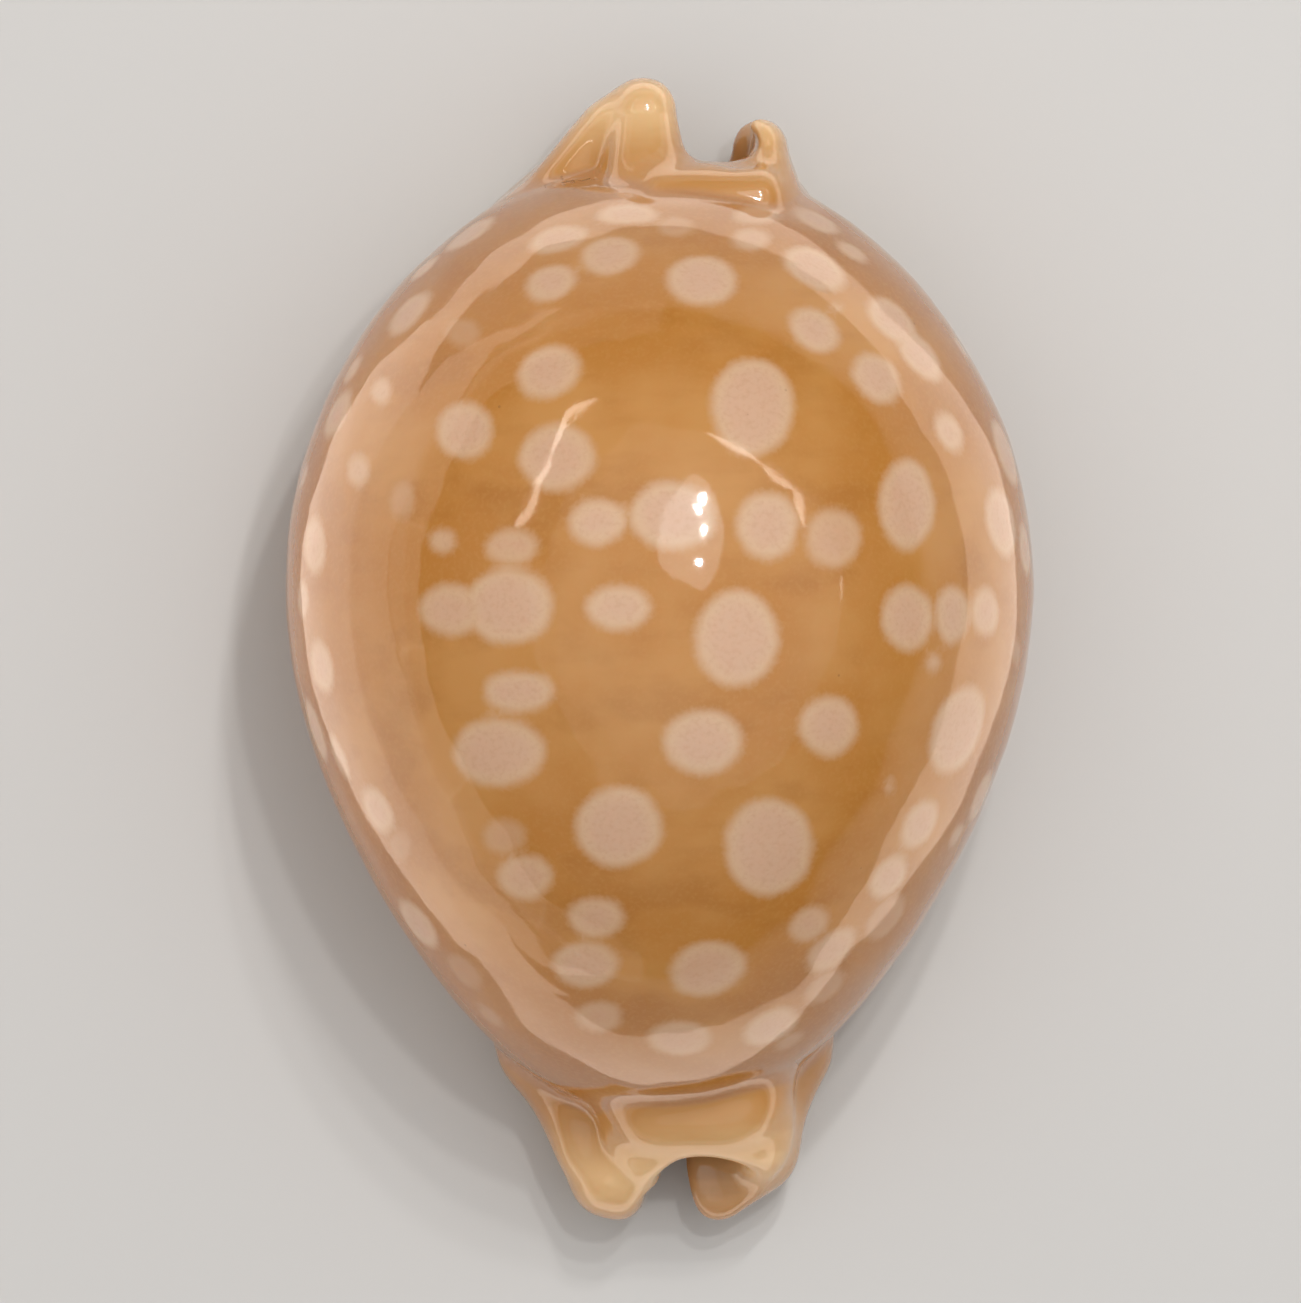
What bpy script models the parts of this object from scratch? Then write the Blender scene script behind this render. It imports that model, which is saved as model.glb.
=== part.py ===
"""A white-toothed cowry: one hollow grown shell, back up, resting on the flat of its base.

X runs from the outer lip (-) to the columella side (+), Y from the front canal (-) to the
back canal (+), and Z from the base up. The shell is worked in millimetres and brought to
metres at the end. Its surface is the zero level of one blended form: an egg-shaped body,
lobes for the collars, horns and margins at both ends, and what the animal left open.
"""

import math

import bmesh
import bpy
import numpy as np

# Driving sizes, in millimetres
METRES = 0.001
BODY_BACK = 34.4
BODY_FRONT = -32.8
BACK_RISE = 1.06
BASE_SQUARENESS = 2.6
WALL = 2.4
LIP_THICKNESS = 6.0
REST_HEIGHT = 0.0
TOOTH_PITCH = 2.75
TOOTH_HEIGHT = 0.6
TOOTH_REACH = 6.0
TEETH_FRONT = -34.5
TEETH_BACK = 31.0
GROOVE_SHARE = 0.35
FRONT_CREASE = 1.8
BACK_CREASE = 0.9
FOOT_BLEND = 3.6
LOBE_BLEND = 1.5
LOBE_SQUARENESS = 2.5
MOUTH_EDGE = 1.0
CURL_EDGE = 1.2
ROOM_ROUNDING = 3.0
ROOM_EDGE = 1.5
ROUTE_BLEND = 1.5
SLIT_TOP = 8.0
SLIT_ROUNDING = 1.0
LIP_ROLL = 2.2

# Half width of the body seen from above, at stations along its length
BODY_WIDTHS = (
    (BODY_BACK, 0.0), (31.6, 10.8), (28.5, 15.1), (25.7, 17.9), (22.9, 20.0), (17.4, 23.3),
    (14.6, 24.4), (9.0, 25.8), (5.0, 26.1), (0.6, 25.8), (-5.0, 24.7), (-10.5, 22.8),
    (-13.3, 21.5), (-18.9, 18.5), (-21.7, 16.5), (-24.5, 14.3), (-27.1, 12.0), (BODY_FRONT, 0.0),
)

# The opening's middle line and half width: y, x and y, half width
OPENING_LINE = (
    (-42, 0.65), (-37, 0.65), (-30, 0.1), (-15, -1.6), (0, -2.2),
    (14, -1.5), (25, 0.9), (34, 3.2), (42, 3.5),
)
OPENING_HALF = (
    (-42, 1.25), (-36, 1.25), (-29, 1.6), (-10, 1.5), (14, 1.2), (28, 1.3), (34, 1.0), (42, 0.9),
)

# Lobes from one end to the other: x, y, z, radius seen from above, half height
FRONT_LOBES = {
    "collar": ((0.4, -31.2, 8.5, 4.9, 7.4), (4.4, -31.0, 8.5, 5.0, 7.6)),
    "collar's rim": ((-0.3, -34.2, 7.0, 4.2, 5.4), (5.3, -33.9, 7.0, 4.2, 5.6)),
    "left margin": ((-10.4, -19.0, 6.8, 1.5, 3.0), (-8.5, -28.3, 4.9, 2.4, 4.0)),
    "left tip": ((-8.5, -28.3, 4.9, 2.4, 4.0), (-3.3, -36.9, 5.0, 2.7, 4.9)),
    "left tip's corner": ((-3.3, -36.9, 5.0, 2.7, 4.9), (-2.6, -37.25, 4.8, 2.55, 4.7)),
    "left knob": ((-5.9, -32.6, 7.6, 1.5, 2.4), (-5.4, -34.8, 7.2, 1.5, 2.1)),
    "right margin": ((11.4, -17.0, 6.8, 1.5, 3.0), (9.3, -28.2, 4.9, 2.5, 4.0)),
    "right side": ((9.3, -28.2, 4.9, 2.5, 4.0), (7.0, -34.4, 4.4, 2.6, 3.8)),
    "right tip": ((6.5, -35.4, 4.4, 2.8, 3.7), (4.0, -37.3, 4.4, 2.75, 3.6)),
}
BACK_LOBES = {
    "left flange": ((-8.7, 29.6, 8.0, 2.6, 5.6), (-3.6, 36.2, 8.4, 2.2, 5.0)),
    "left horn": ((-1.1, 32.2, 11.0, 3.6, 7.8), (-1.15, 37.45, 9.5, 2.55, 5.4)),
    "collar": ((0.3, 31.2, 11.5, 2.9, 9.2), (6.9, 31.4, 11.5, 2.7, 9.0)),
    "right horn": ((6.9, 32.0, 10.5, 2.55, 6.8), (6.75, 34.95, 10.0, 2.25, 5.6)),
}

# Hollows seen from above in the ends: centre and radii
FRONT_MOUTH = ((4.2, -41.6, 12.4), (8.0, 5.4, 5.2))
BACK_CURL = ((5.4, 35.4, 17.0), (1.6, 1.4, 6.5))

# Canals from the hollow to the open ends: x, y, z, radius
FRONT_CANAL = ((0.2, -22.0, 9.0, 3.4), (2.6, -33.0, 8.8, 2.6), (3.6, -42.0, 9.6, 2.8))
BACK_CANAL = ((1.6, 24.0, 10.0, 3.4), (3.6, 32.0, 10.0, 2.1), (4.4, 42.0, 10.4, 2.1))

# The blade that cuts the slit in the blank
BLADE_LENGTH = 90.0
BLADE_DEPTH = 14.0

# How closely balls follow each other in the blank's lobes, and how many fill each stretch of a canal
LOBE_STEP = 1.2
ROUTE_BALLS = 9

# Fineness of the worked surface, and the number of triangles left in the solid
WORK_GRID = 0.7
SETTLE_ROUNDS = 4
LONGEST_STEP = 0.8
SLOPE_PROBE = 0.02
TRIANGLES = 9000
FLAT_SNAP = 0.05


def fitted_width():
    """The squared half width along the body as one smooth curve through the stations."""
    stations = np.array(BODY_WIDTHS)
    return np.polyfit(stations[:, 0], stations[:, 1] ** 2, 6)


WIDTH_CURVE = fitted_width()
WIDTH_SLOPE = np.polyder(WIDTH_CURVE)


def along(y, pairs):
    """A smooth value at y from pairs of y and value."""
    stations = np.array(pairs, float)
    slopes = np.gradient(stations[:, 1], stations[:, 0])
    i = np.clip(np.searchsorted(stations[:, 0], y) - 1, 0, len(stations) - 2)
    y0, v0, m0 = stations[i, 0], stations[i, 1], slopes[i]
    y1, v1, m1 = stations[i + 1, 0], stations[i + 1, 1], slopes[i + 1]
    span = y1 - y0
    t = np.clip((y - y0) / span, 0, 1)
    rise = t * t * (3 - 2 * t)
    return v0 + (v1 - v0) * rise + span * (m0 * t * (1 - t) ** 2 - m1 * t * t * (1 - t))


def ramp(value, low, high):
    """From 0 at low to 1 at high, with soft ends."""
    t = np.clip((value - low) / (high - low), 0, 1)
    return t * t * (3 - 2 * t)


def common(a, b, blend):
    """What two forms share, with a fillet of about this size at the edge between them."""
    overlap = np.maximum(blend - np.abs(a - b), 0) / blend
    return np.maximum(a, b) + overlap * overlap * blend / 4


def joined(a, b, blend):
    return -common(-a, -b, blend)


def cut(a, b, blend):
    return common(a, -b, blend)


def middle_height(y):
    """Height of the body's widest line."""
    t = (y - 1.0) / 33.0
    return 14.8 - 2.0 * t**2 - 4.5 * t**6 - 0.9 * t


def base_height(x, y):
    """The base curves up to the ends and sinks a little along the opening."""
    t = (y - 1.0) / 36.0
    away = np.abs(x - along(y, OPENING_LINE))
    return 0.9 + 1.3 * t**4 - 1.45 * np.exp(-(((away - 7.5) / 4.0) ** 2))


def body(x, y, z):
    squared = np.polyval(WIDTH_CURVE, y)
    middle = middle_height(y)
    depth = middle - base_height(x, y)
    above = z > middle
    half = np.sqrt(np.maximum(squared, 0.01))
    height = np.where(above, (z - middle) / BACK_RISE, (z - middle) * half / depth)
    power = np.where(above, 2.0, BASE_SQUARENESS)
    reach = (np.abs(x) ** power + np.abs(height) ** power) ** (2 / power)
    slope = np.polyval(WIDTH_SLOPE, y) / 2
    return (reach - squared) / (2 * np.sqrt(np.maximum(reach, 1.0) + slope**2))


def lobe(x, y, z, start, end):
    """A rounded bar from start to end."""
    ax, ay, az, ar, ah = start
    bx, by, bz, br, bh = end
    dx, dy = bx - ax, by - ay
    t = np.clip(((x - ax) * dx + (y - ay) * dy) / (dx * dx + dy * dy), 0, 1)
    radius = ar + t * (br - ar)
    half = ah + t * (bh - ah)
    out = np.hypot(x - ax - t * dx, y - ay - t * dy) / radius
    up = np.abs(z - az - t * (bz - az)) / half
    m = LOBE_SQUARENESS
    size = np.maximum(out**m + up**m, 1e-9) ** (1 / m)
    steepness = size ** (1 - m) * np.hypot(out ** (m - 1) / radius, up ** (m - 1) / half)
    return (size - 1) / np.maximum(steepness, 0.5 / np.maximum(radius, half))


def ball(x, y, z, centre, radii):
    parts = [(v - c, r) for v, c, r in zip((x, y, z), centre, radii)]
    size = np.sqrt(sum((d / r) ** 2 for d, r in parts))
    steepness = np.sqrt(sum((d / r**2) ** 2 for d, r in parts))
    return size * (size - 1) / np.maximum(steepness, 1e-3)


def tube(x, y, z, route):
    """A round way through the route's points."""
    form = None
    for (ax, ay, az, ar), (bx, by, bz, br) in zip(route, route[1:]):
        d = np.array((bx - ax, by - ay, bz - az), float)
        t = np.clip(((x - ax) * d[0] + (y - ay) * d[1] + (z - az) * d[2]) / (d @ d), 0, 1)
        away = np.sqrt((x - ax - t * d[0]) ** 2 + (y - ay - t * d[1]) ** 2 + (z - az - t * d[2]) ** 2)
        piece = away - ar - t * (br - ar)
        form = piece if form is None else joined(form, piece, ROUTE_BLEND)
    return form


def lobes_form(x, y, z, lobes):
    form = None
    for start, end in lobes.values():
        piece = lobe(x, y, z, start, end)
        form = piece if form is None else joined(form, piece, LOBE_BLEND)
    return form


def outside(x, y, z):
    """The shell's outer form: creased where the collars meet the back, soft on the base."""
    front = cut(lobes_form(x, y, z, FRONT_LOBES), ball(x, y, z, *FRONT_MOUTH), MOUTH_EDGE)
    back = cut(lobes_form(x, y, z, BACK_LOBES), ball(x, y, z, *BACK_CURL), CURL_EDGE)
    front_blend = FRONT_CREASE + (FOOT_BLEND - FRONT_CREASE) * ramp(-z, -4.5, -1.0)
    back_blend = BACK_CREASE + (FOOT_BLEND - BACK_CREASE) * ramp(-z, -9.0, -3.0)
    return joined(body(x, y, z), np.minimum(front, back), np.where(y < 0, front_blend, back_blend))


def hollow(x, y, z):
    """The room inside, above the rolled lips."""
    return common(body(x, y, z) + WALL, LIP_THICKNESS - z, ROOM_ROUNDING)


def opening(x, y, z):
    """The long slit between the lips and the canals at its ends."""
    beside = np.abs(x - along(y, OPENING_LINE)) - along(y, OPENING_HALF)
    slit = common(beside, z - SLIT_TOP, SLIT_ROUNDING)
    canals = np.minimum(tube(x, y, z, FRONT_CANAL), tube(x, y, z, BACK_CANAL))
    return joined(slit, canals, SLIT_ROUNDING)


def teeth(x, y, z):
    """How far the tooth ridges stand out of the lips, and how deep the grooves lie."""
    edge = np.abs(x - along(y, OPENING_LINE)) - along(y, OPENING_HALF)
    side = np.where(x < along(y, OPENING_LINE), 0.0, 0.5)
    phase = (y - TEETH_FRONT) / TOOTH_PITCH + side
    ridge = 0.5 + 0.5 * np.cos(2 * math.pi * phase)
    strength = ramp(-edge, -TOOTH_REACH, -0.8) * ramp(-z, -7.0, -4.5)
    ends = ramp(y, TEETH_FRONT - 1, TEETH_FRONT + 1) * ramp(-y, -TEETH_BACK - 1, 1 - TEETH_BACK)
    return TOOTH_HEIGHT * strength * ends * (ridge - GROOVE_SHARE)


def shell_form(x, y, z):
    form = cut(outside(x, y, z), hollow(x, y, z), ROOM_EDGE)
    form = cut(form, opening(x, y, z), LIP_ROLL)
    form = form - teeth(x, y, z)
    return np.maximum(form, REST_HEIGHT - z)


def add_ball(shape, centre, radii):
    """A round lump of the blank."""
    made = bmesh.ops.create_uvsphere(shape, u_segments=24, v_segments=16, radius=1.0)
    bmesh.ops.scale(shape, vec=radii, verts=made["verts"])
    bmesh.ops.translate(shape, vec=centre, verts=made["verts"])


def add_body(shape, inset, floor):
    """A ball drawn out to the body's form, smaller by the inset and not below the floor."""
    made = bmesh.ops.create_uvsphere(shape, u_segments=48, v_segments=40, radius=1.0)
    centre = (BODY_BACK + BODY_FRONT) / 2
    length = (BODY_BACK - BODY_FRONT) / 2 - inset
    for vert in made["verts"]:
        # The ball's poles lie along the shell, so turn Z to Y first
        across, up, y = vert.co.x, vert.co.y, centre + vert.co.z * length
        half = max(math.sqrt(max(np.polyval(WIDTH_CURVE, y), 0.01)) - inset, 0.05)
        power = 2.0 if up > 0 else BASE_SQUARENESS
        around = max((abs(across) ** power + abs(up) ** power) ** (1 / power), 1e-6)
        middle = float(middle_height(y))
        tall = half * BACK_RISE if up > 0 else middle - inset
        vert.co = (half * across / around, y, max(middle + tall * up / around, floor))


def add_slit(shape):
    """A blade bent to the opening's line."""
    made = bmesh.ops.create_cube(shape, size=1.0)
    edges = {e for v in made["verts"] for e in v.link_edges}
    lengthwise = [e for e in edges if abs(e.verts[0].co.y - e.verts[1].co.y) > 0.5]
    bmesh.ops.subdivide_edges(shape, edges=lengthwise, cuts=60, use_grid_fill=True)
    for vert in shape.verts:
        y = np.float64(vert.co.y * BLADE_LENGTH)
        middle = float(along(y, OPENING_LINE))
        half = float(along(y, OPENING_HALF))
        height = SLIT_TOP + (vert.co.z - 0.5) * BLADE_DEPTH
        vert.co = (middle + vert.co.x * 2 * half, y, height)


def add_lobes(shape, lobes):
    for start, end in lobes.values():
        start, end = np.array(start), np.array(end)
        steps = max(2, math.ceil(np.linalg.norm((end - start)[:2]) / LOBE_STEP))
        for t in np.linspace(0, 1, steps):
            x, y, z, radius, half = (start + t * (end - start)).tolist()
            add_ball(shape, (x, y, z), (radius, radius, half))


def add_route(shape, route):
    for start, end in zip(route, route[1:]):
        for t in np.linspace(0, 1, ROUTE_BALLS):
            x, y, z, radius = (np.array(start) + t * (np.array(end) - np.array(start))).tolist()
            add_ball(shape, (x, y, z), (radius, radius, radius))


def helper(name, shape):
    """A helper object that is not part of the shell."""
    mesh = bpy.data.meshes.new(name)
    shape.to_mesh(mesh)
    shape.free()
    thing = bpy.data.objects.new(name, mesh)
    bpy.context.collection.objects.link(thing)
    thing.hide_render = True
    thing.display_type = "WIRE"
    return thing


def remeshed(thing):
    modifier = thing.modifiers.new("Even grid", "REMESH")
    modifier.mode = "VOXEL"
    modifier.voxel_size = WORK_GRID


def result_of(thing):
    """The mesh of an object after its modifiers."""
    bpy.context.view_layer.update()
    graph = bpy.context.evaluated_depsgraph_get()
    return bpy.data.meshes.new_from_object(thing.evaluated_get(graph))


def make_blank():
    """The rough shell: body and lobes, less the hollow, the slit and the canals."""
    solid = bmesh.new()
    add_body(solid, 0.0, 0.0)
    add_lobes(solid, FRONT_LOBES)
    add_lobes(solid, BACK_LOBES)
    blank = helper("blank", solid)
    remeshed(blank)
    space = bmesh.new()
    add_slit(space)
    add_body(space, WALL, LIP_THICKNESS)
    add_route(space, FRONT_CANAL)
    add_route(space, BACK_CANAL)
    add_ball(space, *FRONT_MOUTH)
    add_ball(space, *BACK_CURL)
    room = helper("room", space)
    remeshed(room)
    hollowing = blank.modifiers.new("Hollow", "BOOLEAN")
    hollowing.operation = "DIFFERENCE"
    hollowing.object = room
    remeshed(blank)
    mesh = result_of(blank)
    bpy.data.objects.remove(blank)
    bpy.data.objects.remove(room)
    return mesh


def settle(points):
    """Moves points onto the shell's form along its slope."""
    for _ in range(SETTLE_ROUNDS):
        x, y, z = points.T
        value = shell_form(x, y, z)
        slope = np.stack((
            shell_form(x + SLOPE_PROBE, y, z) - value,
            shell_form(x, y + SLOPE_PROBE, z) - value,
            shell_form(x, y, z + SLOPE_PROBE) - value,
        ), axis=1) / SLOPE_PROBE
        step = slope * (value / np.maximum((slope**2).sum(axis=1), 0.2))[:, None]
        length = np.linalg.norm(step, axis=1)
        points = points - step * np.minimum(1, LONGEST_STEP / np.maximum(length, 1e-9))[:, None]
    return points


def settled(mesh):
    """The blank drawn onto the form, evened out, and drawn onto it again."""
    shape = bmesh.new()
    shape.from_mesh(mesh)
    for evening in (3, 1, 0):
        points = settle(np.array([v.co for v in shape.verts]))
        for vert, point in zip(shape.verts, points):
            vert.co = point
        for _ in range(evening):
            bmesh.ops.smooth_vert(
                shape, verts=shape.verts, factor=0.5, use_axis_x=True, use_axis_y=True, use_axis_z=True
            )
    return shape


def thinned(shape):
    """The same surface in fewer triangles."""
    bmesh.ops.triangulate(shape, faces=shape.faces)
    share = TRIANGLES / len(shape.faces)
    fine = helper("fine", shape)
    modifier = fine.modifiers.new("Fewer faces", "DECIMATE")
    modifier.ratio = share
    mesh = result_of(fine)
    bpy.data.objects.remove(fine)
    thin = bmesh.new()
    thin.from_mesh(mesh)
    return thin


def shell_material():
    material = bpy.data.materials.new("Shell enamel")
    material.use_nodes = True
    surface = material.node_tree.nodes["Principled BSDF"]
    surface.inputs["Base Color"].default_value = (0.47, 0.21, 0.05, 1.0)
    surface.inputs["Roughness"].default_value = 0.08
    surface.inputs["Metallic"].default_value = 0.0
    return material


def make_shell():
    shape = thinned(settled(make_blank()))
    for vert in shape.verts:
        if vert.co.z < REST_HEIGHT + FLAT_SNAP:
            vert.co.z = REST_HEIGHT
    bmesh.ops.scale(shape, vec=(METRES, METRES, METRES), verts=shape.verts)
    mesh = bpy.data.meshes.new("shell")
    shape.to_mesh(mesh)
    shape.free()
    mesh.shade_smooth()
    mesh.materials.append(shell_material())
    shell = bpy.data.objects.new("shell", mesh)
    bpy.context.collection.objects.link(shell)


for old in list(bpy.data.objects):
    bpy.data.objects.remove(old)
make_shell()
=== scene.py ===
"""The looks of a white-toothed cowry: its shell with enamel and markings, and the stage it is shown on."""

import math
import random

import bmesh
import bpy
import numpy as np
from bpy.props import FloatProperty, FloatVectorProperty, IntProperty, PointerProperty
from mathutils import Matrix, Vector


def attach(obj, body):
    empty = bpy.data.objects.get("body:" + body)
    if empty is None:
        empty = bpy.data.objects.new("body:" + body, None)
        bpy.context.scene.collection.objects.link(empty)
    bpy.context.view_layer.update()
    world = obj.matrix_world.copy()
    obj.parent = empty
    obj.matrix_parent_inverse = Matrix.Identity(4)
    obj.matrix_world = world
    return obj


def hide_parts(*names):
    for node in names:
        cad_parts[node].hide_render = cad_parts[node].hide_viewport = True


bl_info = {
    "name": "White-toothed cowry",
    "version": (1, 0, 0),
    "blender": (4, 5, 0),
    "location": "3D View > Sidebar > Cowry",
    "description": "Models the shell of a white-toothed cowry with its spotted enamel, and a plain stage",
    "category": "Add Mesh",
}

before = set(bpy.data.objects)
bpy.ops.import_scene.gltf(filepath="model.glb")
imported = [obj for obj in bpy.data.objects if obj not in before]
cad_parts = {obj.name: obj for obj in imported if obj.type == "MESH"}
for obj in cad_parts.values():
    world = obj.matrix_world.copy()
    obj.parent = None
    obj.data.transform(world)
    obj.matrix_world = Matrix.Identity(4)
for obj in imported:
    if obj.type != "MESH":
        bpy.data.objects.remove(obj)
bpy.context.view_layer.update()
NODE = "shell"
BODY = "root"
MM = 0.001

# The form of the shell, in millimetres
BODY_BACK = 34.4
BODY_FRONT = -32.8
BACK_RISE = 1.06
BASE_SQUARENESS = 2.6
LEAST_SQUARE = 0.01
LOBE_SQUARENESS = 2.5
FRONT_CREASE = 1.8
BACK_CREASE = 0.9
FOOT_BLEND = 3.6
# Heights below which the creases soften into the foot, downwards
FRONT_FOOT = (-4.5, -1.0)
BACK_FOOT = (-9.0, -3.0)
LOBE_BLEND = 1.5
LIP_ROLL = 2.2
MOUTH_EDGE = 1.0
CURL_EDGE = 1.2
ROOM_ROUNDING = 3.0
ROOM_EDGE = 1.5
ROUTE_BLEND = 1.5
SLIT_TOP = 8.0
SLIT_ROUNDING = 1.0
GROOVE_SHARE = 0.35
TOOTH_ROOT = 0.8
TOOTH_TOP = (-7.0, -4.5)
TEETH_FRONT = -34.5
TEETH_BACK = 31.0

# Half width of the body seen from above, at stations along its length
BODY_WIDTHS = (
    (BODY_BACK, 0.0), (31.6, 10.8), (28.5, 15.1), (25.7, 17.9), (22.9, 20.0), (17.4, 23.3),
    (14.6, 24.4), (9.0, 25.8), (5.0, 26.1), (0.6, 25.8), (-5.0, 24.7), (-10.5, 22.8),
    (-13.3, 21.5), (-18.9, 18.5), (-21.7, 16.5), (-24.5, 14.3), (-27.1, 12.0), (BODY_FRONT, 0.0),
)

# The opening's middle line and half width: y, x and y, half width
OPENING_LINE = (
    (-42, 0.65), (-37, 0.65), (-30, 0.1), (-15, -1.6), (0, -2.2),
    (14, -1.5), (25, 0.9), (34, 3.2), (42, 3.5),
)
OPENING_HALF = (
    (-42, 1.25), (-36, 1.25), (-29, 1.6), (-10, 1.5), (14, 1.2), (28, 1.3), (34, 1.0), (42, 0.9),
)

# Lobes from one end to the other: x, y, z, radius seen from above, half height
FRONT_LOBES = {
    "collar": ((0.4, -31.2, 8.5, 4.9, 7.4), (4.4, -31.0, 8.5, 5.0, 7.6)),
    "collar's rim": ((-0.3, -34.2, 7.0, 4.2, 5.4), (5.3, -33.9, 7.0, 4.2, 5.6)),
    "left margin": ((-10.4, -19.0, 6.8, 1.5, 3.0), (-8.5, -28.3, 4.9, 2.4, 4.0)),
    "left tip": ((-8.5, -28.3, 4.9, 2.4, 4.0), (-3.3, -36.9, 5.0, 2.7, 4.9)),
    "left tip's corner": ((-3.3, -36.9, 5.0, 2.7, 4.9), (-2.6, -37.25, 4.8, 2.55, 4.7)),
    "left knob": ((-5.9, -32.6, 7.6, 1.5, 2.4), (-5.4, -34.8, 7.2, 1.5, 2.1)),
    "right margin": ((11.4, -17.0, 6.8, 1.5, 3.0), (9.3, -28.2, 4.9, 2.5, 4.0)),
    "right side": ((9.3, -28.2, 4.9, 2.5, 4.0), (7.0, -34.4, 4.4, 2.6, 3.8)),
    "right tip": ((6.5, -35.4, 4.4, 2.8, 3.7), (4.0, -37.3, 4.4, 2.75, 3.6)),
}
BACK_LOBES = {
    "left flange": ((-8.7, 29.6, 8.0, 2.6, 5.6), (-3.6, 36.2, 8.4, 2.2, 5.0)),
    "left horn": ((-1.1, 32.2, 11.0, 3.6, 7.8), (-1.15, 37.45, 9.5, 2.55, 5.4)),
    "collar": ((0.3, 31.2, 11.5, 2.9, 9.2), (6.9, 31.4, 11.5, 2.7, 9.0)),
    "right horn": ((6.9, 32.0, 10.5, 2.55, 6.8), (6.75, 34.95, 10.0, 2.25, 5.6)),
}

# Hollows seen from above in the ends: centre and radii
FRONT_MOUTH = ((4.2, -41.6, 12.4), (8.0, 5.4, 5.2))
BACK_CURL = ((5.4, 35.4, 17.0), (1.6, 1.4, 6.5))

# Canals from the hollow to the open ends: x, y, z, radius
FRONT_CANAL = ((0.2, -22.0, 9.0, 3.4), (2.6, -33.0, 8.8, 2.6), (3.6, -42.0, 9.6, 2.8))
BACK_CANAL = ((1.6, 24.0, 10.0, 3.4), (3.6, 32.0, 10.0, 2.1), (4.4, 42.0, 10.4, 2.1))

# The blade that cuts the slit in the blank, and the balls that fill its lobes and canals
BLADE_LENGTH = 90.0
BLADE_DEPTH = 14.0
LEAST_HALF = 0.05
LOBE_STEP = 1.2
ROUTE_BALLS = 9

# How the surface is worked: the rough grid, the steps onto the form, and where the mesh is finer
ROUGH_GRID = 0.8
SETTLE_ROUNDS = 4
LONGEST_STEP = 0.8
SLOPE_PROBE = 0.02
LEAST_SLOPE = 0.2
FINE_ENDS = 0.9
FINE_CREASE = 1.0
SKIN_DEPTH = -0.35
TINY = 1e-9

# The photograph's view, straight down on the back
PHOTO_WIDTH = 1301
PHOTO_HEIGHT = 1303
PIXELS_PER_MM = 14.34
PHOTO_ORIGIN = (659.5, 649.0)
PHOTO_DISTANCE = 1600.0

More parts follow.
